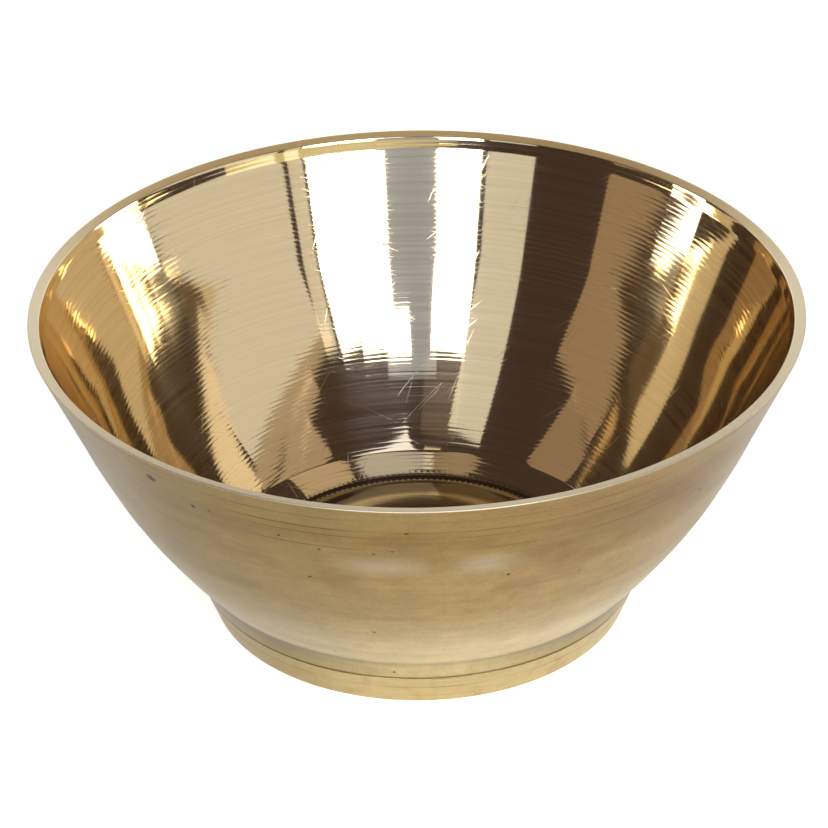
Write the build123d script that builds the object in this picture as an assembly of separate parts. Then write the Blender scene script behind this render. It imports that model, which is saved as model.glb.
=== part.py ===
"""Offering bowl: a turned bronze bowl that stands on a soldered foot ring.

Millimetres, +Z up. The origin is on the table, under the bowl's axis.
Every piece is a turned one, so each is a half section revolved about Z,
drawn with the radius along x and the height along y.
"""
import os
from math import atan2, cos, radians, sin, tan

from build123d import *

# Rim and wall
RIM_DIAMETER = 115.0
BOWL_HEIGHT = 49.1
RIM_LAND = 1.6              # width of the flat land turned on top of the rim
RIM_FALL = 12.0             # degrees by which the land falls towards the inside
RIM_STEEPENING = 6.57       # degrees by which the wall stands steeper under the rim than on the whole
STRAIGHT_WALL = 18.0        # length of wall under the rim that is straight

# Foot ring
FOOT_DIAMETER = 63.5        # of the ring's face at the table
FOOT_HEIGHT = 5.25
FOOT_LEAN = 21.0            # lean of the ring's face from the vertical, degrees
FOOT_RING_WIDTH = 1.9       # level width of the ring, from its face to its bore
FOOT_BREAK = 0.2            # flat that breaks the outer edge at the table

# Solder between the bowl and the ring
SOLDER_FILM = 0.15          # room for the film, level round the spigot and upright under the shoulder
SEAM_SETBACK = 0.2          # how far the film stays behind the foot's face
SEAM_CLEARANCE = 0.07       # left open between the film round the spigot and the bore

# Base and floor of the bowl
NECK_RISE = 3.4             # height of the neck, which carries the ring's face on up to the wall
SPIGOT_LENGTH = 4.05        # how far the base reaches down inside the ring
FLOOR_THICKNESS = 2.1
CORNER_WALL = 1.27          # from the top of the spigot in to the corner of the inside
BAND_WIDTH = 4.5            # sloping band between the wall and the groove
BAND_RISE = 1.8
GROOVE_WIDTH = 2.4          # groove turned round the flat of the floor
GROOVE_FLAT = 1.0           # width of its bottom
GROOVE_DEPTH = 0.5

# Places that more than one piece shares
rim_radius = RIM_DIAMETER / 2
foot_radius = FOOT_DIAMETER / 2
shoulder_height = FOOT_HEIGHT + SOLDER_FILM
base_height = shoulder_height - SPIGOT_LENGTH


def face_at(height):
    """The radius of the foot's face, on the ring and on the neck above it."""
    return foot_radius + height * tan(radians(FOOT_LEAN))


def bore_at(height):
    """The radius of the ring's bore, which tapers like its face."""
    return face_at(height) - FOOT_RING_WIDTH


def spigot_at(height):
    """The radius of the spigot under the bowl, which sits down into the bore."""
    return bore_at(height) - SOLDER_FILM


def bowl_body():
    """The cast and turned shell: wall, rim, floor, neck and the spigot underneath."""
    floor_height = base_height + FLOOR_THICKNESS
    corner = (spigot_at(shoulder_height) - CORNER_WALL, floor_height + BAND_RISE)
    groove_radius = corner[0] - BAND_WIDTH - GROOVE_WIDTH / 2
    groove_height = floor_height - GROOVE_DEPTH
    rim_outer = (rim_radius, BOWL_HEIGHT)
    rim_inner = (rim_radius - RIM_LAND, BOWL_HEIGHT - RIM_LAND * tan(radians(RIM_FALL)))
    lean = atan2(rim_inner[0] - corner[0], rim_inner[1] - corner[1]) - radians(RIM_STEEPENING)
    down_the_wall = (-sin(lean), -cos(lean))
    fall = (STRAIGHT_WALL * down_the_wall[0], STRAIGHT_WALL * down_the_wall[1])
    outer_bend = (rim_outer[0] + fall[0], rim_outer[1] + fall[1])
    inner_bend = (rim_inner[0] + fall[0], rim_inner[1] + fall[1])
    neck_height = shoulder_height + NECK_RISE
    neck = (face_at(neck_height), neck_height)

    with BuildPart() as body:
        with BuildSketch(Plane.XZ):
            with BuildLine():
                TangentArc(outer_bend, neck, tangent=down_the_wall)
                Polyline(outer_bend, rim_outer, rim_inner, inner_bend)
                TangentArc(inner_bend, corner, tangent=down_the_wall)
                Polyline(
                    corner,
                    (groove_radius + GROOVE_WIDTH / 2, floor_height),
                    (groove_radius + GROOVE_FLAT / 2, groove_height),
                    (groove_radius - GROOVE_FLAT / 2, groove_height),
                    (groove_radius - GROOVE_WIDTH / 2, floor_height),
                    (0, floor_height),
                    (0, base_height),
                    (spigot_at(base_height), base_height),
                    (spigot_at(shoulder_height), shoulder_height),
                    (face_at(shoulder_height), shoulder_height),
                    neck,
                )
            make_face()
        revolve(axis=Axis.Z)
    return body.part


def foot_ring():
    """The turned, tapered ring that the bowl sits down into."""
    with BuildPart() as ring:
        with BuildSketch(Plane.XZ) as section:
            with BuildLine():
                Polyline(
                    (bore_at(0), 0),
                    (face_at(0), 0),
                    (face_at(FOOT_HEIGHT), FOOT_HEIGHT),
                    (bore_at(FOOT_HEIGHT), FOOT_HEIGHT),
                    close=True,
                )
            make_face()
            outer_corner = section.vertices().group_by(Axis.Y)[0].sort_by(Axis.X)[-1]
            chamfer(outer_corner, FOOT_BREAK)
        revolve(axis=Axis.Z)
    return ring.part


def solder_seam():
    """The solder that holds the ring: a film round the spigot and under the shoulder."""
    with BuildPart() as seam:
        with BuildSketch(Plane.XZ):
            with BuildLine():
                Polyline(
                    (spigot_at(base_height), base_height),
                    (spigot_at(shoulder_height), shoulder_height),
                    (face_at(shoulder_height) - SEAM_SETBACK, shoulder_height),
                    (face_at(FOOT_HEIGHT) - SEAM_SETBACK, FOOT_HEIGHT),
                    (bore_at(FOOT_HEIGHT) - SEAM_CLEARANCE, FOOT_HEIGHT),
                    (bore_at(base_height) - SEAM_CLEARANCE, base_height),
                    close=True,
                )
            make_face()
        revolve(axis=Axis.Z)
    return seam.part


os.makedirs("parts", exist_ok=True)
export_step(bowl_body(), "parts/bowl_body.step")
export_step(foot_ring(), "parts/foot_ring.step")
export_step(solder_seam(), "parts/solder_seam.step")
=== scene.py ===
from math import atan2, cos, hypot, pi, radians, sin, tan

import bpy
from mathutils import Matrix, Vector


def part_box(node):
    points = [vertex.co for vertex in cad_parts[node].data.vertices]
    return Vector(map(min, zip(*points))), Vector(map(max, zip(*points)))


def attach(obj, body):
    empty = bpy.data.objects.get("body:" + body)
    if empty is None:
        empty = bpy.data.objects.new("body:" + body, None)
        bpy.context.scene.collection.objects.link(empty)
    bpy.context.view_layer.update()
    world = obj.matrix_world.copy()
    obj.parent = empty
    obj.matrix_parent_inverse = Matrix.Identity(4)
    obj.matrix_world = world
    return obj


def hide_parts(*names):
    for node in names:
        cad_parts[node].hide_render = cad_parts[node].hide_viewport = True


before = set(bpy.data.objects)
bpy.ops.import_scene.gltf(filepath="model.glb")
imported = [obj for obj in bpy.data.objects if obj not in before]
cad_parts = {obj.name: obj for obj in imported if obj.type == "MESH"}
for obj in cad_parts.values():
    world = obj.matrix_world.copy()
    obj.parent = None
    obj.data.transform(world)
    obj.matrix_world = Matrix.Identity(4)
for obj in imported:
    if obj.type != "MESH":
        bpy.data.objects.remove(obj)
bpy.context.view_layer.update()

# Bowl body
# The shell is cast in bell metal, a copper and tin alloy, and turned inside and out on a lathe.
# It is drawn as half of its section in millimetres, radius and height, from the middle of the
# floor up the inside, over the rim and down the outside to the base, and turned about the axis.
MM = 0.001
bowl_low, bowl_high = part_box("bowl_body")
ring_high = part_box("foot_ring")[1]
seam_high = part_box("solder_seam")[1]
rim_radius = bowl_high.x / MM
rim_height = bowl_high.z / MM
ring_top_radius = ring_high.x / MM
foot_height = ring_high.z / MM
shoulder_height = seam_high.z / MM
base_height = bowl_low.z / MM
RIM_LAND = 1.6
RIM_FALL = radians(12)
RIM_LEAN = radians(23.7)
RIM_EDGE = 0.14             # radius to which the land's two edges are worn
LIP = 2.0                   # length of wall under the rim that stands more upright
LIP_LEAN = radians(18.3)
LIP_EDGE = 2.0
STRAIGHT_WALL = 18.0
NECK_RISE = 3.4
NECK_EDGE = 0.5             # radius in the crease between the wall and the neck
SHOULDER_EDGE = 0.12
FOOT_LEAN = radians(21)
FOOT_RING_WIDTH = 1.9
SOLDER_FILM = 0.15
FLOOR_THICKNESS = 2.1
CORNER_WALL = 1.27
CORNER_EDGE = 0.5
BAND_WIDTH = 4.5
BAND_RISE = 1.8
GROOVE_WIDTH = 2.4
GROOVE_FLAT = 1.0
GROOVE_DEPTH = 0.5
GROOVE_EDGE = 0.3
CENTRE_MARK_RADIUS = 1.2    # left by the lathe centre, underneath
CENTRE_MARK_DEPTH = 0.5
CHATTER_MARKS = 173         # dents that the tool left round the groove, in two rows
CHATTER_DEPTH = 0.03
CHATTER_LENGTH = 0.25       # of each dent, up the band
STEPS_PER_MARK = 3
SEGMENTS = STEPS_PER_MARK * CHATTER_MARKS
SHARP = radians(40)
# The tool's spring left slow waves, given by their lengths and heights.
INSIDE_WAVES = ((6.3, 0.0015), (9.7, 0.003), (15.0, 0.005))
OUTSIDE_WAVES = ((5.0, 0.008), (8.0, 0.015), (13.0, 0.025))


def face_at(height):
    """The radius of the foot's tapered face, on the ring and on the neck above it."""
    return ring_top_radius + (height - foot_height) * tan(FOOT_LEAN)


def bore_at(height):
    """The radius of the ring's bore, which tapers like its face."""
    return face_at(height) - FOOT_RING_WIDTH


def spigot_at(height):
    """The radius of the spigot that sits down into the bore."""
    return bore_at(height) - SOLDER_FILM


def straight(section, end, steps):
    """Draws a straight run of the section, in even steps."""
    start = section[-1]
    for k in range(1, steps + 1):
        section.append(start.lerp(Vector(end), k / steps))


def sweep(section, end, heading, steps):
    """Draws an arc that leaves along a heading and ends at a point."""
    start = section[-1]
    chord = Vector(end) - start
    half = atan2(chord.y, chord.x) - heading
    half = atan2(sin(half), cos(half))
    step = chord.length * sin(half / steps) / sin(half)
    for k in range(steps):
        way = heading + 2 * half * (k + 0.5) / steps
        section.append(section[-1] + step * Vector((cos(way), sin(way))))


def round_corner(section, point, beyond, radius, run_steps, steps):
    """Draws a straight run towards a corner and the arc that rounds it towards the next point."""
    point = Vector(point)
    into = (point - section[-1]).normalized()
    out = (Vector(beyond) - point).normalized()
    setback = radius * tan(into.angle(out) / 2)
    straight(section, point - into * setback, run_steps)
    sweep(section, point + out * setback, atan2(into.y, into.x), steps)


def runs_of(section):
    """The distance along a section to each of its points."""
    runs = [0.0]
    for here, there in zip(section, section[1:]):
        runs.append(runs[-1] + (there - here).length)
    return runs


def wave(section, first, last, waves):
    """Lays slow waves over a stretch of the section, which die out at both of its ends."""
    runs = runs_of(section)
    moved = []
    for k in range(first, last):
        run = runs[k] - runs[first]
        share = run / (runs[last] - runs[first])
        heading = (section[k + 1] - section[k - 1]).normalized()
        rise = sin(pi * share) * sum(height * sin(2 * pi * run / length) for length, height in waves)
        moved.append(section[k] + rise * Vector((-heading.y, heading.x)))
    section[first:last] = moved


def turned(name, section):
    """Turns a section about the axis, with each point's distance along it kept in millimetres."""
    bpy.ops.object.select_all(action="DESELECT")
    bpy.ops.mesh.primitive_plane_add(size=MM, location=(0, 0, 0))
    piece = bpy.context.object
    piece.name = piece.data.name = name
    bpy.ops.object.mode_set(mode="EDIT")
    bpy.ops.mesh.merge(type="CENTER")
    here = Vector((0, 0))
    for k, point in enumerate(section):
        move = {"value": ((point.x - here.x) * MM, 0, (point.y - here.y) * MM)}
        if k:
            bpy.ops.mesh.extrude_region_move(TRANSFORM_OT_translate=move)
        else:
            bpy.ops.transform.translate(**move)
        here = point
    bpy.ops.object.mode_set(mode="OBJECT")
    runs = runs_of(section)
    along = piece.data.attributes.new("along", "FLOAT", "POINT")
    for k, vertex in enumerate(piece.data.vertices):
        place = Vector((vertex.co.x, vertex.co.z)) / MM
        nearest = min(range(len(section)), key=lambda j: (section[j] - place).length)
        along.data[k].value = runs[nearest]
    lathe = piece.modifiers.new("lathe", "SCREW")
    lathe.axis = "Z"
    lathe.angle = 2 * pi
    lathe.steps = lathe.render_steps = SEGMENTS
    lathe.use_merge_vertices = True
    lathe.merge_threshold = MM / 10000
    bpy.ops.object.modifier_apply(modifier="lathe")
    bpy.ops.object.mode_set(mode="EDIT")
    bpy.ops.mesh.select_all(action="SELECT")
    bpy.ops.mesh.remove_doubles(threshold=MM / 10000)
    bpy.ops.mesh.normals_make_consistent(inside=False)
    bpy.ops.object.mode_set(mode="OBJECT")
    bpy.ops.object.shade_smooth_by_angle(angle=SHARP)
    return piece


def unroll(piece, radius):
    """Keeps each point's place on the skin, as on a cylinder of one radius, in millimetres."""
    along = piece.data.attributes["along"]
    skin = piece.data.attributes.new("skin", "FLOAT_VECTOR", "POINT")
    for k, vertex in enumerate(piece.data.vertices):
        turn = atan2(vertex.co.y, vertex.co.x)
        skin.data[k].vector = (radius * cos(turn), radius * sin(turn), along.data[k].value)


floor_height = base_height + FLOOR_THICKNESS
corner = Vector((spigot_at(shoulder_height) - CORNER_WALL, floor_height + BAND_RISE))
groove_radius = corner.x - BAND_WIDTH - GROOVE_WIDTH / 2
groove_height = floor_height - GROOVE_DEPTH
up_the_wall = Vector((sin(RIM_LEAN), cos(RIM_LEAN)))
rim_outer = Vector((rim_radius, rim_height))
rim_inner = Vector((rim_radius - RIM_LAND, rim_height - RIM_LAND * tan(RIM_FALL)))
outer_bend = rim_outer - up_the_wall * STRAIGHT_WALL
inner_bend = rim_inner - up_the_wall * STRAIGHT_WALL
lip_start = rim_inner - up_the_wall * LIP
lip_in = LIP * cos(RIM_LEAN) * (tan(RIM_LEAN) - tan(LIP_LEAN))
lip_top = rim_inner - lip_in * Vector((1, tan(RIM_FALL)))
shoulder = Vector((face_at(shoulder_height), shoulder_height))
neck = Vector((face_at(shoulder_height + NECK_RISE), shoulder_height + NECK_RISE))
inner_rise = inner_bend - corner
corner_lean = 2 * atan2(inner_rise.x, inner_rise.y) - RIM_LEAN
corner_heading = Vector((sin(corner_lean), cos(corner_lean)))

section = [Vector((0, floor_height))]
round_corner(section, (groove_radius - GROOVE_WIDTH / 2, floor_height),
             (groove_radius - GROOVE_FLAT / 2, groove_height), GROOVE_EDGE, 8, 3)
round_corner(section, (groove_radius - GROOVE_FLAT / 2, groove_height),
             (groove_radius + GROOVE_FLAT / 2, groove_height), GROOVE_EDGE, 2, 4)
round_corner(section, (groove_radius + GROOVE_FLAT / 2, groove_height),
             (groove_radius + GROOVE_WIDTH / 2, floor_height), GROOVE_EDGE, 2, 4)
lower_marks = len(section) - 1
round_corner(section, (groove_radius + GROOVE_WIDTH / 2, floor_height), corner, GROOVE_EDGE, 3, 4)
upper_marks = len(section) - 1
straight(section, section[-1] + CHATTER_LENGTH * (corner - section[-1]).normalized(), 1)
round_corner(section, corner, corner + corner_heading, CORNER_EDGE, 6, 5)
wall_starts = len(section)
sweep(section, inner_bend, atan2(corner_heading.y, corner_heading.x), 36)
round_corner(section, lip_start, lip_top, LIP_EDGE, 18, 3)
wall_ends = len(section) - 4
round_corner(section, lip_top, rim_outer, RIM_EDGE, 4, 4)
land_starts = len(section) - 1
round_corner(section, rim_outer, outer_bend, RIM_EDGE, 3, 5)
outside_starts = len(section) - 1
straight(section, outer_bend, 16)
sweep(section, neck, -pi / 2 - RIM_LEAN, 30)
section.pop()
outside_ends = len(section) - 1
round_corner(section, neck, shoulder, NECK_EDGE, 1, 4)
crease = len(section) - 3
round_corner(section, shoulder, (spigot_at(shoulder_height), shoulder_height), SHOULDER_EDGE, 4, 4)
straight(section, (spigot_at(shoulder_height), shoulder_height), 2)
straight(section, (spigot_at(base_height), base_height), 2)
straight(section, (CENTRE_MARK_RADIUS, base_height), 4)
straight(section, (0, base_height + CENTRE_MARK_DEPTH), 2)
wave(section, wall_starts, wall_ends, INSIDE_WAVES)
wave(section, outside_starts, outside_ends, OUTSIDE_WAVES)
bowl = turned("bowl", section)

# The tool chattered as it cut the groove, and left two rows of small dents along its outer flank.
for row, stagger in ((lower_marks, 0), (upper_marks, STEPS_PER_MARK // 2)):
    bpy.ops.object.mode_set(mode="EDIT")
    bpy.ops.mesh.select_mode(type="VERT")
    bpy.ops.mesh.select_all(action="DESELECT")
    bpy.ops.object.mode_set(mode="OBJECT")
    for vertex in bowl.data.vertices:
        place = Vector((hypot(vertex.co.x, vertex.co.y), vertex.co.z)) / MM
        step = round(atan2(vertex.co.y, vertex.co.x) / (2 * pi) * SEGMENTS) + stagger
        in_row = (place - section[row]).length < GROOVE_EDGE / 10
        vertex.select = in_row and step % STEPS_PER_MARK == 0
    bpy.ops.object.mode_set(mode="EDIT")
    bpy.ops.transform.translate(value=(0, 0, -CHATTER_DEPTH * MM))
    bpy.ops.object.mode_set(mode="OBJECT")

SKIN_RADIUS = 45.0          # of the cylinder on which the bowl's finish is laid out
unroll(bowl, SKIN_RADIUS)
runs = runs_of(section)

# The bright finish of the inside: bell metal turned with a fine feed and then buffed.
# The eye gets a pale gold mirror, ruled round with fine lines that comb the edges of reflections,
# with hairline scratches from use, and a band in and beside the groove that is darkened, all but the
# chatter dents.
BELL_METAL = "#E9D4AA"
BUFFED_ROUGHNESS = (0.035, 0.06)
LATHE_SHEEN = 0.6           # how far highlights are drawn out
LATHE_SHEEN_TURN = 0.25     # of a full turn, so that they lie across the lines of the tool
FEED = 0.75                 # millimetres from one line of the tool to the next
FEED_SLOPE = 0.012          # of the flanks of each line
FEED_UNEVEN = (0.3, 1.7)    # shares of that slope, where the tool cut least and most
STREAK_HEIGHT = 0.002
STREAK_LEVELS = (0.95, 1.04)
STREAK = (0.03, 0.03, 2.2)  # streaks to the millimetre, round the bowl twice and up it
SCRATCH_FINE = 2.6          # scratches to the millimetre, coarser than real ones so that they show
SCRATCH_LONG = 0.16
SCRATCH_LEVELS = (0.78, 0.87)   # of the noise, between which a scratch comes up
SCRATCH_DEPTH = 0.0015
SCRATCH_ROUGHNESS = 0.06
SCRATCH_SLOPES = (0.9, -0.45, 2.6)   # millimetres up for each millimetre round
# Longer scratches, given by the degrees round and the millimetres up at both ends.
LONG_SCRATCHES = ((87.6, 16.8, 94.9, 11.8), (84.1, 13.5, 94.0, 8.6), (84.6, 13.2, 90.1, 10.2),
                  (54.6, 43.6, 54.9, 39.3))
LONG_SCRATCH_WIDTH = 0.14
LONG_SCRATCH_FADE = 0.4
LONG_SCRATCH_HAZE = 0.35
HAZE_METAL = "#E6E0D4"      # where fine scratches scatter the light
HAZE_ROUGHNESS = 0.24
HAZE_SHEEN = 0.8
HAZE_SHARES = (0.01, 0.065)
DENT_HALF_HEIGHT = 0.16
DARKENED_INWARDS = 4.2        # how far the darkened band reaches from the middle of the groove
DARKENED_OUTWARDS = 1.7
DARKENED_TONE = "#3A2A18"
DARKENED_STRENGTH = 0.7


def linear(colour):
    """A colour given as sRGB hex, as linear light."""
    parts = [int(colour[k:k + 2], 16) / 255 for k in (1, 3, 5)]
    return [c / 12.92 if c <= 0.04045 else ((c + 0.055) / 1.055) ** 2.4 for c in parts] + [1]


def add(tree, kind, inputs, **settings):
    """Adds a node with its settings, and sets or links its inputs."""
    made = tree.nodes.new(kind)
    for name, value in settings.items():
        setattr(made, name, value)
    for socket, value in inputs.items():
        if isinstance(value, bpy.types.NodeSocket):
            tree.links.new(value, made.inputs[socket])
        else:
            made.inputs[socket].default_value = value
    return made


def finish_of(name):
    """A new material, with its shader."""
    made = bpy.data.materials.new(name)
    made.use_nodes = True
    return made, made.node_tree, made.node_tree.nodes["Principled BSDF"]


def window(tree, value, low, high, soft):
    """A mask that is 1 where a value lies between two bounds, with edges that are soft both ways."""
    rising = add(tree, "ShaderNodeMapRange", {"Value": value, "From Min": low - soft,
                                              "From Max": low + soft})
    falling = add(tree, "ShaderNodeMapRange", {"Value": value, "From Min": high - soft,
                                               "From Max": high + soft, "To Min": 1.0, "To Max": 0.0})
    return add(tree, "ShaderNodeMath", {0: rising.outputs[0], 1: falling.outputs[0]},
               operation="MULTIPLY").outputs[0]


def tinted(tree, colour, mask, strength, tint):
    """Mixes a tint into a colour where a mask says, as strongly as given."""
    share = add(tree, "ShaderNodeMath", {0: mask, 1: strength}, operation="MULTIPLY").outputs[0]
    return add(tree, "ShaderNodeMix", {0: share, 6: colour, 7: linear(tint)}, data_type="RGBA").outputs[2]


bright, tree, shader = finish_of("bell_metal_turned_and_buffed")
skin = add(tree, "ShaderNodeAttribute", {}, attribute_name="skin").outputs["Vector"]
along = add(tree, "ShaderNodeSeparateXYZ", {0: skin}).outputs["Z"]
ruled = add(tree, "ShaderNodeVectorMath", {0: skin, 1: STREAK}, operation="MULTIPLY").outputs[0]
streaks = add(tree, "ShaderNodeTexNoise", {"Vector": ruled, "Scale": 1.0, "Detail": 3.0}).outputs["Fac"]
across = add(tree, "ShaderNodeMath", {0: along, 1: FEED / 2}, operation="PINGPONG").outputs[0]
scallop = add(tree, "ShaderNodeMath", {0: across, 1: across}, operation="MULTIPLY").outputs[0]
uneven = add(tree, "ShaderNodeMapRange", {"Value": streaks, "From Min": 0.35, "From Max": 0.65,
                                          "To Min": FEED_UNEVEN[0] * FEED_SLOPE / FEED,
                                          "To Max": FEED_UNEVEN[1] * FEED_SLOPE / FEED})
feed = add(tree, "ShaderNodeMath", {0: scallop, 1: uneven.outputs[0]}, operation="MULTIPLY").outputs[0]
rise = add(tree, "ShaderNodeMath", {0: streaks, 1: STREAK_HEIGHT, 2: feed},
           operation="MULTIPLY_ADD").outputs[0]
scratches = 0.0
for slope in SCRATCH_SLOPES:
    twist = add(tree, "ShaderNodeMath", {0: along, 1: 1 / (slope * SKIN_RADIUS)},
                operation="MULTIPLY").outputs[0]
    wound = add(tree, "ShaderNodeVectorRotate", {"Vector": skin, "Angle": twist},
                rotation_type="Z_AXIS").outputs[0]
    drawn = add(tree, "ShaderNodeVectorMath", {0: wound, 1: (SCRATCH_FINE, SCRATCH_FINE, SCRATCH_LONG)},
                operation="MULTIPLY").outputs[0]
    grit = add(tree, "ShaderNodeTexNoise", {"Vector": drawn, "Scale": 1.0, "Detail": 0.0}).outputs["Fac"]
    line = add(tree, "ShaderNodeMapRange", {"Value": grit, "From Min": SCRATCH_LEVELS[0],
                                            "From Max": SCRATCH_LEVELS[1]}).outputs[0]
    scratches = add(tree, "ShaderNodeMath", {0: line, 1: scratches}, operation="MAXIMUM").outputs[0]
around = add(tree, "ShaderNodeSeparateXYZ", {0: skin}).outputs
turn = add(tree, "ShaderNodeMath", {0: around["Y"], 1: around["X"]}, operation="ARCTAN2").outputs[0]
half_width = LONG_SCRATCH_WIDTH / 2 / SKIN_RADIUS
long_scratches = 0.0
for first_turn, first_height, last_turn, last_height in LONG_SCRATCHES:
    first, last = [runs[min(range(wall_starts, wall_ends), key=lambda k: abs(section[k].y - height))]
                   for height in (first_height, last_height)]
    middle = add(tree, "ShaderNodeMapRange", {"Value": along, "From Min": last, "From Max": first,
                                              "To Min": radians(last_turn),
                                              "To Max": radians(first_turn)}).outputs[0]
    off_line = add(tree, "ShaderNodeMath", {0: turn, 1: middle}, operation="SUBTRACT").outputs[0]
    on_line = window(tree, off_line, -half_width, half_width, half_width)
    within = window(tree, along, last, first, LONG_SCRATCH_FADE)
    line = add(tree, "ShaderNodeMath", {0: on_line, 1: within}, operation="MULTIPLY").outputs[0]
    long_scratches = add(tree, "ShaderNodeMath", {0: line, 1: long_scratches},
                         operation="MAXIMUM").outputs[0]
scratches = add(tree, "ShaderNodeMath", {0: scratches, 1: long_scratches}, operation="MAXIMUM").outputs[0]
cut = add(tree, "ShaderNodeMath", {0: scratches, 1: -SCRATCH_DEPTH, 2: rise},
          operation="MULTIPLY_ADD").outputs[0]
bump = add(tree, "ShaderNodeBump", {"Height": cut, "Distance": MM, "Strength": 1.0}).outputs[0]
smudge = add(tree, "ShaderNodeTexNoise", {"Vector": skin, "Scale": 0.12, "Detail": 4.0}).outputs["Fac"]
haze = add(tree, "ShaderNodeMapRange", {"Value": smudge, "From Min": 0.35, "From Max": 0.7,
                                        "To Min": BUFFED_ROUGHNESS[0],
                                        "To Max": BUFFED_ROUGHNESS[1]}).outputs[0]
rough = add(tree, "ShaderNodeMath", {0: scratches, 1: SCRATCH_ROUGHNESS, 2: haze},
            operation="MULTIPLY_ADD").outputs[0]
tangent = add(tree, "ShaderNodeTangent", {}, direction_type="RADIAL", axis="Z").outputs[0]
lines = add(tree, "ShaderNodeMapRange", {"Value": streaks, "From Min": 0.3, "From Max": 0.7,
                                         "To Min": STREAK_LEVELS[0], "To Max": STREAK_LEVELS[1]}).outputs[0]
metal = add(tree, "ShaderNodeMix", {0: 1.0, 6: linear(BELL_METAL), 7: lines}, data_type="RGBA",
            blend_type="MULTIPLY").outputs[2]
# The chatter dents are left out of the darkened band in and beside the groove.
spared_dents = 0.0
for row, stagger in ((lower_marks, 0), (upper_marks, STEPS_PER_MARK // 2)):
    count = add(tree, "ShaderNodeMath", {0: turn, 1: CHATTER_MARKS / (2 * pi), 2: stagger / STEPS_PER_MARK},
                operation="MULTIPLY_ADD").outputs[0]
    off_mark = add(tree, "ShaderNodeMath", {0: count, 1: 0.5}, operation="PINGPONG").outputs[0]
    in_mark = add(tree, "ShaderNodeMapRange", {"Value": off_mark, "From Min": 0.1, "From Max": 0.26,
                                               "To Min": 1.0, "To Max": 0.0}).outputs[0]
    in_row = window(tree, along, runs[row] - DENT_HALF_HEIGHT, runs[row] + DENT_HALF_HEIGHT,
                    DENT_HALF_HEIGHT / 2)
    dent = add(tree, "ShaderNodeMath", {0: in_mark, 1: in_row}, operation="MULTIPLY").outputs[0]
    spared_dents = add(tree, "ShaderNodeMath", {0: dent, 1: spared_dents}, operation="MAXIMUM").outputs[0]
by_groove = window(tree, along, groove_radius - DARKENED_INWARDS, groove_radius + DARKENED_OUTWARDS, 0.5)
off_dents = add(tree, "ShaderNodeMath", {0: 1.0, 1: spared_dents}, operation="SUBTRACT").outputs[0]
darkened_band = add(tree, "ShaderNodeMath", {0: by_groove, 1: off_dents}, operation="MULTIPLY").outputs[0]
metal = tinted(tree, metal, darkened_band, DARKENED_STRENGTH, DARKENED_TONE)
tree.links.new(metal, shader.inputs["Base Color"])
shader.inputs["Metallic"].default_value = 1.0
shader.inputs["Anisotropic"].default_value = LATHE_SHEEN
shader.inputs["Anisotropic Rotation"].default_value = LATHE_SHEEN_TURN
tree.links.new(rough, shader.inputs["Roughness"])
tree.links.new(bump, shader.inputs["Normal"])
tree.links.new(tangent, shader.inputs["Tangent"])
brushed = add(tree, "ShaderNodeBsdfPrincipled",
              {"Base Color": linear(HAZE_METAL), "Metallic": 1.0, "Roughness": HAZE_ROUGHNESS,
               "Anisotropic": HAZE_SHEEN, "Anisotropic Rotation": LATHE_SHEEN_TURN,
               "Normal": bump, "Tangent": tangent})
dulled = add(tree, "ShaderNodeMapRange", {"Value": streaks, "From Min": 0.35, "From Max": 0.65,
                                          "To Min": HAZE_SHARES[0], "To Max": HAZE_SHARES[1]}).outputs[0]
scuffed = add(tree, "ShaderNodeMath", {0: long_scratches, 1: LONG_SCRATCH_HAZE, 2: dulled},
              operation="MULTIPLY_ADD").outputs[0]
blend = add(tree, "ShaderNodeMixShader", {0: scuffed, 1: shader.outputs[0], 2: brushed.outputs[0]})
tree.links.new(blend.outputs[0], tree.nodes["Material Output"].inputs["Surface"])
bowl.data.materials.append(bright)

# The satin finish of the outside and the rim: the same metal, turned and only rubbed down.
# The eye gets a soft sheen in level streaks, browned under the rim, with hairlines where old polish has
# stayed and a few casting pits. Painted reflection makes it paler towards the neck, greyer at the sides,
# golder on the back of the rim's land and pale in two patches; painted shade darkens its left side and the
# band under the crease, and a painted highlight lies above the crease.
outside_run = runs[outside_starts]
crease_run = runs[crease]
SATIN_ROUGHNESS = (0.26, 0.36)
LAND_ROUGHNESS = 0.5
LAND_TONE = "#E6DDC4"
# Painted reflection: the back of the rim's land is golder, as it mirrors warm light from behind the bowl.
LAND_REFLECTION_BEHIND = "#E6C684"
LAND_BEHIND = (5.0, 38.0)   # how far back on the skin that painted reflection comes up
LAND_DOWN = (-9.0, -0.05, 0.12)   # millimetres below the rim's outer edge, and how softly they end
SATIN_LEVELS = (0.8, 1.16)
# Tones of the metal, by millimetres below the rim: partly tarnish, browner under the rim, and partly
# painted reflection of the pale table, paler towards the neck.
TONES_WITH_PAINTED_REFLECTION = {0.6: "#AC915E", 4.0: "#AA8E58", 7.5: "#A28553", 11.0: "#AA905E", 18.0: "#B39767",
         27.0: "#B59B6B", 33.0: "#C4AF82", 40.0: "#DAC9A2", 44.0: "#D4C49A", 52.0: "#D5C08E"}
TONE_SPAN = 60.0
TONE_DRIFT = 5.0            # millimetres by which their bounds wander
SMEAR = (0.07, 0.07, 1.1)   # level smears to the millimetre, round the bowl twice and down it
SMEAR_HEIGHT = 0.004
STAIN = (0.08, 0.08, 0.2)
STAIN_DOWN = (0.5, 30.0, 9.0)
STAIN_TONE = "#7E5C34"
# Hairlines, by millimetres below the rim and half their width.
HAIRLINES = ((2.4, 0.10), (4.9, 0.14), (6.4, 0.08), (9.4, 0.08))
HAIRLINE_TONE = "#4A361E"
PIT_DEPTH = 0.08
PIT_SHAKE = (0.6, 0.6, 0.35)    # how raggedly their edges run
PIT_SHIFT = Vector((0.3, 0.3, 0.17))    # by which that noise moves them, on the whole
PIT_TONE = "#2A2014"
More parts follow.
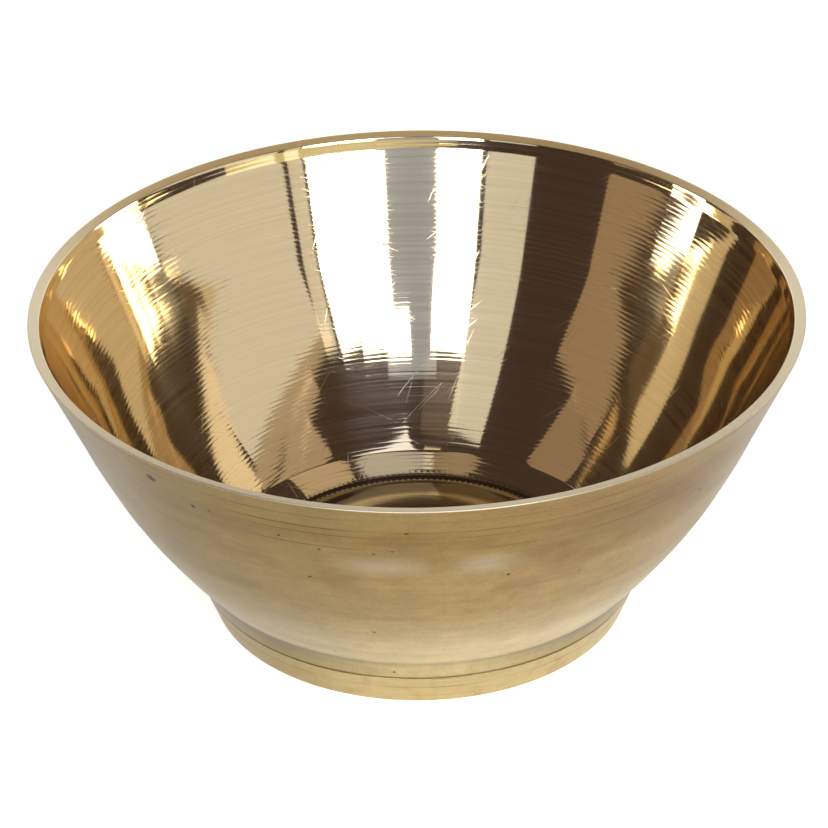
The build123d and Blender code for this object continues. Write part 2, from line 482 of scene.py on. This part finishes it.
# Pits, by degrees round from the front, millimetres below the rim and radius.
PITS = ((-41.8, 3.8, 0.95), (-35.0, 6.9, 0.45), (-32.0, 6.6, 0.22), (-21.0, 8.3, 0.25), (-15.0, 10.2, 0.28),
        (-6.8, 10.2, 0.22), (-4.0, 9.5, 0.25), (-1.8, 5.0, 0.3), (-17.8, 17.6, 0.28), (14.0, 16.8, 0.3),
        (-8.8, 32.3, 0.35), (-19.5, 42.7, 0.3), (-6.5, 48.2, 0.3), (27.0, 20.0, 0.22), (49.2, 12.2, 0.3))
# Two pale patches of painted reflection: spots of light on the table in front, as the outside mirrors them.
PAINTED_REFLECTION_PATCHES = ((-11.0, -1.0), (6.5, 14.2))   # degrees round from the front
PAINTED_REFLECTION_DOWN = (11.6, 15.4)    # millimetres below the rim
PAINTED_REFLECTION_TONE = "#DCD6C6"
# Painted shade: the left side of the outside is darker and greyer.
LEFT_SHADE_TONE = "#665E3E"
LEFT_SHADE_STRENGTH = 0.38     # at the left
LEFT_SHADE_FADES = (-28.0, 4.0)    # across the skin, from the left
# Painted reflection: the sides are greyer and cooler, for the room that they mirror.
SIDES = (56, 112, 16)       # degrees from the front, either way, and how softly they end
SIDE_REFLECTION_TONE = "#7E8068"

satin, tree, shader = finish_of("bell_metal_turned_satin")
skin = add(tree, "ShaderNodeAttribute", {}, attribute_name="skin").outputs["Vector"]
place = add(tree, "ShaderNodeSeparateXYZ", {0: skin}).outputs
down = add(tree, "ShaderNodeMath", {0: place["Z"], 1: outside_run}, operation="SUBTRACT").outputs[0]
forward = add(tree, "ShaderNodeMath", {0: place["Y"], 1: -1.0}, operation="MULTIPLY").outputs[0]
turn = add(tree, "ShaderNodeMath", {0: place["X"], 1: forward}, operation="ARCTAN2").outputs[0]
ruled = add(tree, "ShaderNodeVectorMath", {0: skin, 1: SMEAR}, operation="MULTIPLY").outputs[0]
streaks = add(tree, "ShaderNodeTexNoise", {"Vector": ruled, "Scale": 1.0, "Detail": 5.0}).outputs["Fac"]
cloud = add(tree, "ShaderNodeTexNoise", {"Vector": skin, "Scale": 0.07, "Detail": 4.0}).outputs["Fac"]
drift = add(tree, "ShaderNodeMath", {0: cloud, 1: TONE_DRIFT, 2: down}, operation="MULTIPLY_ADD").outputs[0]
share = add(tree, "ShaderNodeMath", {0: drift, 1: TONE_SPAN}, operation="DIVIDE").outputs[0]
# The tone is part tarnish and part painted reflection, paler towards the neck.
tone = add(tree, "ShaderNodeValToRGB", {0: share})
stops = tone.color_ramp.elements
for k, (millimetres, colour) in enumerate(TONES_WITH_PAINTED_REFLECTION.items()):
    stop = stops[k] if k < len(stops) else stops.new(1.0)
    stop.position = (millimetres + TONE_DRIFT / 2) / TONE_SPAN
    stop.color = linear(colour)
wear = add(tree, "ShaderNodeTexNoise", {"Vector": skin, "Scale": 0.28, "Detail": 8.0,
                                        "Roughness": 0.7}).outputs["Fac"]
grain = add(tree, "ShaderNodeTexNoise", {"Vector": skin, "Scale": 2.0, "Detail": 3.0}).outputs["Fac"]
worn = add(tree, "ShaderNodeMath", {0: streaks, 1: 0.55, 2: wear}, operation="MULTIPLY_ADD").outputs[0]
grained = add(tree, "ShaderNodeMath", {0: grain, 1: 0.5, 2: worn}, operation="MULTIPLY_ADD").outputs[0]
level = add(tree, "ShaderNodeMapRange", {"Value": grained, "From Min": 0.72, "From Max": 1.33,
                                         "To Min": SATIN_LEVELS[0],
                                         "To Max": SATIN_LEVELS[1]}).outputs[0]
colour = add(tree, "ShaderNodeMix", {0: 1.0, 6: tone.outputs[0], 7: level}, data_type="RGBA",
             blend_type="MULTIPLY").outputs[2]
broad = add(tree, "ShaderNodeVectorMath", {0: skin, 1: STAIN}, operation="MULTIPLY").outputs[0]
stain = add(tree, "ShaderNodeTexNoise", {"Vector": broad, "Scale": 1.0, "Detail": 4.0}).outputs["Fac"]
browned = add(tree, "ShaderNodeMapRange", {"Value": stain, "From Min": 0.5, "From Max": 0.66}).outputs[0]
near_rim = window(tree, down, *STAIN_DOWN)
smear = add(tree, "ShaderNodeMath", {0: browned, 1: near_rim}, operation="MULTIPLY").outputs[0]
colour = tinted(tree, colour, smear, 0.32, STAIN_TONE)
broken = add(tree, "ShaderNodeMapRange", {"Value": cloud, "From Min": 0.42, "From Max": 0.6}).outputs[0]
for height, half_width in HAIRLINES:
    hairline = window(tree, down, height - half_width, height + half_width, 0.06)
    stretch = add(tree, "ShaderNodeMath", {0: hairline, 1: broken}, operation="MULTIPLY").outputs[0]
    colour = tinted(tree, colour, stretch, 0.6, HAIRLINE_TONE)
# Painted reflection: two pale patches in front.
reflection_down = window(tree, down, PAINTED_REFLECTION_DOWN[0], PAINTED_REFLECTION_DOWN[1], 1.1)
for first, last in PAINTED_REFLECTION_PATCHES:
    reflection_round = window(tree, turn, radians(first), radians(last), radians(3.2))
    reflection_patch = add(tree, "ShaderNodeMath", {0: reflection_round, 1: reflection_down}, operation="MULTIPLY").outputs[0]
    colour = tinted(tree, colour, reflection_patch, 0.3, PAINTED_REFLECTION_TONE)
aside = add(tree, "ShaderNodeMath", {0: turn}, operation="ABSOLUTE").outputs[0]
# Painted shade on the left side, fading out across the bowl.
left_shade = add(tree, "ShaderNodeMapRange", {"Value": place["X"], "From Min": LEFT_SHADE_FADES[0],
                                           "From Max": LEFT_SHADE_FADES[1], "To Min": LEFT_SHADE_STRENGTH,
                                           "To Max": 0.0}).outputs[0]
colour = tinted(tree, colour, left_shade, 1.0, LEFT_SHADE_TONE)
# Painted reflection at the sides.
side_reflection = window(tree, aside, *[radians(angle) for angle in SIDES])
colour = tinted(tree, colour, side_reflection, 0.4, SIDE_REFLECTION_TONE)
past_crease = add(tree, "ShaderNodeMath", {0: place["Z"], 1: crease_run}, operation="SUBTRACT").outputs[0]
ALL_ROUND = (-90, 270, 1)
# Each mark is given by where it lies round the bowl in degrees and down it in millimetres, each with the
# softness of its bounds, and by its strength and tint.
marks = (
    (turn, (24, 54, 9), down, (1.5, 16.0, 3.0), 0.32, "#7E5836"),              # reddish smear
    (aside, (24, 180, 16), past_crease, (-0.3, 1.5, 0.5), 0.6, "#6E6A62"),     # painted shade under the crease, away from the front
    (aside, (24, 180, 16), past_crease, (1.3, 9.0, 0.4), 0.5, "#8A7448"),      # darker on the neck, away from the front
    (aside, ALL_ROUND, past_crease, (-3.4, -0.6, 0.8), 0.25, "#F2E8D2"),       # painted highlight above the crease
    (turn, (-28, 180, 10), past_crease, (3.3, 9.0, 0.12), 0.6, "#5A4222"),     # dirt at the seam
    (aside, ALL_ROUND, past_crease, (-0.3, 0.5, 0.35), 0.4, "#8F8470"),        # a grey line along the crease
)
for way_round, degrees_round, way_down, millimetres_down, strength, tint in marks:
    across = window(tree, way_round, *[radians(angle) for angle in degrees_round])
    downwards = window(tree, way_down, *millimetres_down)
    mark = add(tree, "ShaderNodeMath", {0: across, 1: downwards}, operation="MULTIPLY").outputs[0]
    colour = tinted(tree, colour, mark, strength, tint)
ragged = add(tree, "ShaderNodeTexNoise", {"Vector": skin, "Scale": 2.5, "Detail": 2.0}).outputs["Color"]
shaken = add(tree, "ShaderNodeVectorMath", {0: ragged, 1: PIT_SHAKE, 2: skin},
             operation="MULTIPLY_ADD").outputs[0]
pits = 0.0
for degrees_round, millimetres, radius in PITS:
    at = radians(degrees_round)
    middle = Vector((SKIN_RADIUS * sin(at), -SKIN_RADIUS * cos(at), outside_run + millimetres))
    away = add(tree, "ShaderNodeVectorMath", {0: shaken, 1: middle + PIT_SHIFT},
               operation="DISTANCE").outputs["Value"]
    pit = add(tree, "ShaderNodeMapRange", {"Value": away, "From Min": 0.4 * radius, "From Max": radius,
                                           "To Min": 1.0, "To Max": 0.0}).outputs[0]
    pits = add(tree, "ShaderNodeMath", {0: pit, 1: pits}, operation="MAXIMUM").outputs[0]
colour = tinted(tree, colour, pits, 0.85, PIT_TONE)
on_land = window(tree, down, *LAND_DOWN)
colour = tinted(tree, colour, on_land, 1.0, LAND_TONE)
# Painted reflection on the back of the land.
behind = add(tree, "ShaderNodeMapRange", {"Value": place["Y"], "From Min": LAND_BEHIND[0],
                                          "From Max": LAND_BEHIND[1]}).outputs[0]
reflected_behind = add(tree, "ShaderNodeMath", {0: on_land, 1: behind}, operation="MULTIPLY").outputs[0]
colour = tinted(tree, colour, reflected_behind, 0.75, LAND_REFLECTION_BEHIND)
rise = add(tree, "ShaderNodeMath", {0: streaks, 1: SMEAR_HEIGHT}, operation="MULTIPLY").outputs[0]
sunk = add(tree, "ShaderNodeMath", {0: pits, 1: -PIT_DEPTH, 2: rise}, operation="MULTIPLY_ADD").outputs[0]
bump = add(tree, "ShaderNodeBump", {"Height": sunk, "Distance": MM, "Strength": 1.0}).outputs[0]
rough = add(tree, "ShaderNodeMapRange", {"Value": cloud, "From Min": 0.3, "From Max": 0.7,
                                         "To Min": SATIN_ROUGHNESS[0],
                                         "To Max": SATIN_ROUGHNESS[1]}).outputs[0]
tangent = add(tree, "ShaderNodeTangent", {}, direction_type="RADIAL", axis="Z").outputs[0]
shader.inputs["Metallic"].default_value = 1.0
shader.inputs["Anisotropic"].default_value = LATHE_SHEEN
shader.inputs["Anisotropic Rotation"].default_value = LATHE_SHEEN_TURN
land_rough = add(tree, "ShaderNodeMix", {0: on_land, 2: rough, 3: LAND_ROUGHNESS}).outputs[0]
tree.links.new(colour, shader.inputs["Base Color"])
tree.links.new(land_rough, shader.inputs["Roughness"])
tree.links.new(bump, shader.inputs["Normal"])
tree.links.new(tangent, shader.inputs["Tangent"])
bowl.data.materials.append(satin)

along = bowl.data.attributes["along"]
for face in bowl.data.polygons:
    middle = sum(along.data[v].value for v in face.vertices) / len(face.vertices)
    face.material_index = int(middle > runs[land_starts])

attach(bowl, "root")
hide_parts("bowl_body")

# Foot ring
# A turned and tapered ring of yellower brass that the bowl sits down into and stands on.
# It is soldered round the spigot under the bowl, and has a fine line scribed round its face.
FOOT_EDGE = 0.2
FOOT_LINE_HEIGHT = 3.2
FOOT_LINE_WIDTH = 0.16
FOOT_LINE_DEPTH = 0.03
TOP_EDGE = 0.1

foot_bottom = Vector((face_at(0), 0))
foot_top = Vector((face_at(foot_height), foot_height))
bore_top = Vector((bore_at(foot_height), foot_height))
line_low = FOOT_LINE_HEIGHT - FOOT_LINE_WIDTH / 2
line_high = FOOT_LINE_HEIGHT + FOOT_LINE_WIDTH / 2
ring_section = [bore_top]
straight(ring_section, (bore_at(0), 0), 4)
round_corner(ring_section, foot_bottom, foot_top, FOOT_EDGE, 3, 6)
straight(ring_section, (face_at(line_low), line_low), 6)
straight(ring_section, (face_at(FOOT_LINE_HEIGHT) - FOOT_LINE_DEPTH, FOOT_LINE_HEIGHT), 2)
straight(ring_section, (face_at(line_high), line_high), 2)
round_corner(ring_section, foot_top, bore_top, TOP_EDGE, 6, 4)
straight(ring_section, bore_top, 2)
ring = turned("foot_ring_turned", ring_section)
unroll(ring, ring_top_radius)

# Yellow brass, turned and rubbed: a warmer satin than the bowl's, with dirt left in its fine lines, and
# painted shade on its left side.
BRASS_TONES = ("#C3AE78", "#DACA9E")
BRASS_STREAK = (0.03, 0.03, 3.0)
BRASS_STREAK_HEIGHT = 0.006
BRASS_ROUGHNESS = 0.3
BRASS_BROWNED = "#AE8A54"
BRASS_SHADE_LEFT = "#8A7448"      # painted shade, at the left
FOOT_LEFT = (-40.0, -16.0, 7.0)    # across the skin, and how softly it ends
FOOT_DIRT = "#6E5226"
# Lines that hold dirt, by their height, half width and strength.
FOOT_LINES = ((3.2, 0.1, 0.5), (4.1, 0.06, 0.25), (1.3, 0.06, 0.2), (5.2, 0.12, 0.6))
brass, tree, shader = finish_of("yellow_brass_turned")
skin = add(tree, "ShaderNodeAttribute", {}, attribute_name="skin").outputs["Vector"]
point = add(tree, "ShaderNodeTexCoord", {}).outputs["Object"]
height = add(tree, "ShaderNodeSeparateXYZ", {0: point}).outputs["Z"]
millimetres_up = add(tree, "ShaderNodeMath", {0: height, 1: 1 / MM}, operation="MULTIPLY").outputs[0]
ruled = add(tree, "ShaderNodeVectorMath", {0: skin, 1: BRASS_STREAK}, operation="MULTIPLY").outputs[0]
streaks = add(tree, "ShaderNodeTexNoise", {"Vector": ruled, "Scale": 1.0, "Detail": 4.0}).outputs["Fac"]
colour = add(tree, "ShaderNodeMix", {0: streaks, 6: linear(BRASS_TONES[0]), 7: linear(BRASS_TONES[1])},
             data_type="RGBA").outputs[2]
cloud = add(tree, "ShaderNodeTexNoise", {"Vector": skin, "Scale": 0.1, "Detail": 4.0}).outputs["Fac"]
broken = add(tree, "ShaderNodeMapRange", {"Value": cloud, "From Min": 0.4, "From Max": 0.6}).outputs[0]
for line_height, half_width, strength in FOOT_LINES:
    line = window(tree, millimetres_up, line_height - half_width, line_height + half_width, 0.06)
    stretch = add(tree, "ShaderNodeMath", {0: line, 1: broken}, operation="MULTIPLY").outputs[0]
    colour = tinted(tree, colour, stretch, strength, FOOT_DIRT)
wear = add(tree, "ShaderNodeTexNoise", {"Vector": skin, "Scale": 0.4, "Detail": 6.0,
                                        "Roughness": 0.65}).outputs["Fac"]
browned = add(tree, "ShaderNodeMapRange", {"Value": wear, "From Min": 0.48, "From Max": 0.7}).outputs[0]
colour = tinted(tree, colour, browned, 0.4, BRASS_BROWNED)
round_foot = add(tree, "ShaderNodeSeparateXYZ", {0: skin}).outputs
# Painted shade on the left side of the ring.
shaded_left = window(tree, round_foot["X"], *FOOT_LEFT)
colour = tinted(tree, colour, shaded_left, 0.5, BRASS_SHADE_LEFT)
rise = add(tree, "ShaderNodeMath", {0: streaks, 1: BRASS_STREAK_HEIGHT}, operation="MULTIPLY").outputs[0]
bump = add(tree, "ShaderNodeBump", {"Height": rise, "Distance": MM, "Strength": 1.0}).outputs[0]
tangent = add(tree, "ShaderNodeTangent", {}, direction_type="RADIAL", axis="Z").outputs[0]
shader.inputs["Metallic"].default_value = 1.0
shader.inputs["Roughness"].default_value = BRASS_ROUGHNESS
shader.inputs["Anisotropic"].default_value = LATHE_SHEEN
shader.inputs["Anisotropic Rotation"].default_value = LATHE_SHEEN_TURN
tree.links.new(colour, shader.inputs["Base Color"])
tree.links.new(bump, shader.inputs["Normal"])
tree.links.new(tangent, shader.inputs["Tangent"])
ring.data.materials.append(brass)

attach(ring, "root")
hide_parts("foot_ring")

# Solder seam
# Hard solder, run in as a film round the spigot and under the shoulder of the bowl.
# It stays a little behind the face of the foot, so it shows as a dark hairline.
SEAM_SETBACK = 0.2
SEAM_CLEARANCE = 0.07       # left open between the film and the bore
seam_section = [Vector((spigot_at(shoulder_height), shoulder_height))]
straight(seam_section, (face_at(shoulder_height) - SEAM_SETBACK, shoulder_height), 2)
straight(seam_section, (face_at(foot_height) - SEAM_SETBACK, foot_height), 1)
straight(seam_section, (bore_at(foot_height) - SEAM_CLEARANCE, foot_height), 2)
straight(seam_section, (bore_at(base_height) - SEAM_CLEARANCE, base_height), 2)
straight(seam_section, (spigot_at(base_height), base_height), 1)
straight(seam_section, (spigot_at(shoulder_height), shoulder_height), 2)
seam = turned("solder_film", seam_section)

# Hard solder, darkened by the flame and by old polish: a dull brown with a grainy skin.
SOLDER_TONES = ("#2E2010", "#6B5230")
SOLDER_GRAIN = 0.4
SOLDER_GRAIN_DEPTH = 0.03
SOLDER_ROUGHNESS = 0.5
solder, tree, shader = finish_of("hard_solder_darkened")
point = add(tree, "ShaderNodeTexCoord", {}).outputs["Object"]
grain = add(tree, "ShaderNodeTexNoise", {"Vector": point, "Scale": 1 / (SOLDER_GRAIN * MM),
                                         "Detail": 3.0}).outputs["Fac"]
colour = add(tree, "ShaderNodeMix", {0: grain, 6: linear(SOLDER_TONES[0]), 7: linear(SOLDER_TONES[1])},
             data_type="RGBA").outputs[2]
bump = add(tree, "ShaderNodeBump", {"Height": grain, "Distance": SOLDER_GRAIN_DEPTH * MM,
                                    "Strength": 1.0}).outputs[0]
shader.inputs["Metallic"].default_value = 1.0
shader.inputs["Roughness"].default_value = SOLDER_ROUGHNESS
tree.links.new(colour, shader.inputs["Base Color"])
tree.links.new(bump, shader.inputs["Normal"])
seam.data.materials.append(solder)

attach(seam, "root")
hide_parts("solder_seam")

# Floor
# A plain pale table top, far wider than the view. It glows a little, as a lit white table does,
# so that the outside of the bowl has something pale to mirror.
FLOOR_SIZE = 4.0
FLOOR_DROP = MM / 20        # keeps it clear of the ring's underside
FLOOR_TONE = "#E2E1DF"
FLOOR_ROUGHNESS = 0.6
FLOOR_GLOW = 0.42
FLOOR_GLOW_SEEN = 0.72
bpy.ops.object.select_all(action="DESELECT")
bpy.ops.mesh.primitive_plane_add(size=FLOOR_SIZE, location=(0, 0, -FLOOR_DROP))
table = bpy.context.object
table.name = "table"
matt, tree, shader = finish_of("matt_white_laminate")
path = add(tree, "ShaderNodeLightPath", {})
glow = add(tree, "ShaderNodeMapRange", {"Value": path.outputs["Is Camera Ray"], "To Min": FLOOR_GLOW,
                                        "To Max": FLOOR_GLOW_SEEN}).outputs[0]
shader.inputs["Base Color"].default_value = linear(FLOOR_TONE)
shader.inputs["Roughness"].default_value = FLOOR_ROUGHNESS
shader.inputs["Emission Color"].default_value = linear("#FFFFFF")
tree.links.new(glow, shader.inputs["Emission Strength"])
table.data.materials.append(matt)

# Light
# Soft boxes and pale cards stand round the bowl, each placed by the way it lies from the rim:
# azimuths from the front towards the right and heights above the horizon, in degrees,
# then how bright it is, its colour, how far it is turned on its own face and how far off it stands.
LIGHT_DISTANCE = 1.2
rim_centre = Vector((0, 0, bowl_high.z))


def card(name, azimuths, heights, radiance, colour, roll=0, distance=LIGHT_DISTANCE):
    """Hangs a flat light that faces the rim and fills the given angles."""
    azimuth = radians(sum(azimuths) / 2)
    height = radians(sum(heights) / 2)
    way = Vector((sin(azimuth) * cos(height), -cos(azimuth) * cos(height), sin(height)))
    lamp = bpy.data.lights.new(name, "AREA")
    lamp.shape = "RECTANGLE"
    lamp.size = 2 * distance * tan(radians(azimuths[1] - azimuths[0]) * cos(height) / 2)
    lamp.size_y = 2 * distance * tan(radians(heights[1] - heights[0]) / 2)
    lamp.energy = radiance * pi * lamp.size * lamp.size_y
    lamp.color = linear(colour)[:3]
    stand = bpy.data.objects.new(name, lamp)
    stand.location = rim_centre + way * distance
    facing = (-way).to_track_quat("-Z", "Y").to_matrix() @ Matrix.Rotation(radians(roll), 3, "Z")
    stand.rotation_euler = facing.to_euler()
    stand.visible_camera = False
    bpy.context.scene.collection.objects.link(stand)


card("box_left_outer", (23, 34.6), (14, 35), 8.0, "#FFFFFF", roll=5)
card("box_left_main", (12, 24), (14, 37), 8.0, "#FFFFFF")
card("box_left_inner", (9.7, 13), (19, 31.5), 8.0, "#FFFFFF")
card("box_left_corner", (3, 13), (31, 38.8), 8.0, "#FFFFFF")
card("box_right_outer", (-21.6, -14.5), (13, 37.5), 8.0, "#FFFFFF")
card("box_right_low", (-15, -7.5), (13, 19.6), 8.0, "#FFFFFF")
card("box_right_high", (-15, -6.6), (20.6, 37.5), 8.0, "#FFFFFF")
card("gap_card", (-8, 13), (12, 43), 0.6, "#C8DAFF")
card("cream_left", (-40, -22), (15, 52), 0.76, "#F8FAFF")
card("cream_right_edge", (36, 40.9), (7.5, 34), 0.72, "#FFFEFC")
card("cream_right", (42.1, 96), (7.5, 32.5), 0.74, "#FBFBFC")
card("cream_right_high", (36, 105), (32.5, 37), 0.42, "#FFEBD2")
card("cream_right_higher", (50, 105), (37, 41.5), 0.42, "#FFEBD2")
card("cream_right_top", (60, 105), (41.5, 50), 0.4, "#FFEBD2")
card("brown_low", (-95, -63), (10, 29), 0.3, "#FFE0BC")
card("brown_high", (-100, -75), (29, 45), 0.26, "#FFE0BC")
card("tan_high", (-24, -3), (38.4, 54), 0.08, "#FFEAD0")
card("gold_high", (-18, -4), (57.6, 66), 0.7, "#FFF0D8")
card("strip_right", (93, 112), (0.5, 7.5), 6.0, "#FFFFFF")
card("strip_left", (-98, -85), (1.5, 8), 4.0, "#FFFFFF")
card("low_front", (-13, 60), (2, 13), 0.7, "#FFF6C8")
card("top_card", (150, 186), (66, 75), 0.55, "#F4F6FF")
card("top_tan", (186, 208), (63, 74), 0.3, "#FFEAD0")
card("back_tan", (125, 150), (55, 67), 0.5, "#FFEAD0")
card("side_right", (114, 150), (2, 44), 0.5, "#FFF8EE")
card("side_left", (-150, -108), (2, 44), 0.45, "#FFF8EE")
card("behind_low", (165, 195), (0, 12), 0.9, "#FFF8EE")
card("behind_right", (150, 175), (14, 40), 1.6, "#FFFBF4")
card("behind_left", (185, 210), (14, 40), 1.6, "#FFFBF4")
card("behind_high", (165, 195), (42, 62), 0.5, "#FFF0C8")
card("near_card", (1, 66), (55.5, 71), 1.5, "#E0E8FF", distance=0.156)

# The metal sees a dark, warm room past the cards, and the camera a pale backdrop.
ROOM_DARK = (0.062, 0.042, 0.036, 1)
ROOM_SEEN = (0.95, 0.95, 0.95, 1)
world = bpy.data.worlds.new("studio")
world.use_nodes = True
bpy.context.scene.world = world
tree = world.node_tree
path = add(tree, "ShaderNodeLightPath", {})
shade = add(tree, "ShaderNodeMix", {0: path.outputs["Is Camera Ray"], 6: ROOM_DARK, 7: ROOM_SEEN},
            data_type="RGBA")
tree.links.new(shade.outputs[2], tree.nodes["Background"].inputs["Color"])
bpy.context.scene.view_settings.view_transform = "Standard"
MIRROR_BOUNCES = 10         # the inside of the bowl mirrors itself, beside the rim up to eight times over
bpy.context.scene.cycles.glossy_bounces = MIRROR_BOUNCES

# Camera
# It stands in front of the bowl and looks down into it, as the bowl is pictured.
CAMERA_DISTANCE = 0.575
CAMERA_HEIGHT_ANGLE = radians(29.233)
LENS = 169.0
SENSOR = 36.0
ROLL = radians(-0.742)
AIM_RIGHT = 0.001012
AIM_UP = -0.028163
CLIP_START = 0.01
back = Vector((0, -cos(CAMERA_HEIGHT_ANGLE), sin(CAMERA_HEIGHT_ANGLE)))
side = Vector((1, 0, 0))
upward = side.cross(-back)
aim = (-back - side * AIM_RIGHT + upward * AIM_UP).normalized()
side = aim.cross(upward).normalized()
upward = side.cross(aim)
right = cos(ROLL) * side + sin(ROLL) * upward
top = cos(ROLL) * upward - sin(ROLL) * side
camera = bpy.data.objects.new("camera", bpy.data.cameras.new("camera"))
camera.data.lens = LENS
camera.data.sensor_width = SENSOR
camera.data.clip_start = CLIP_START
turned_to_aim = Matrix((right, top, -aim)).transposed().to_4x4()
camera.matrix_world = Matrix.Translation(rim_centre + back * CAMERA_DISTANCE) @ turned_to_aim
bpy.context.scene.collection.objects.link(camera)
bpy.context.scene.camera = camera
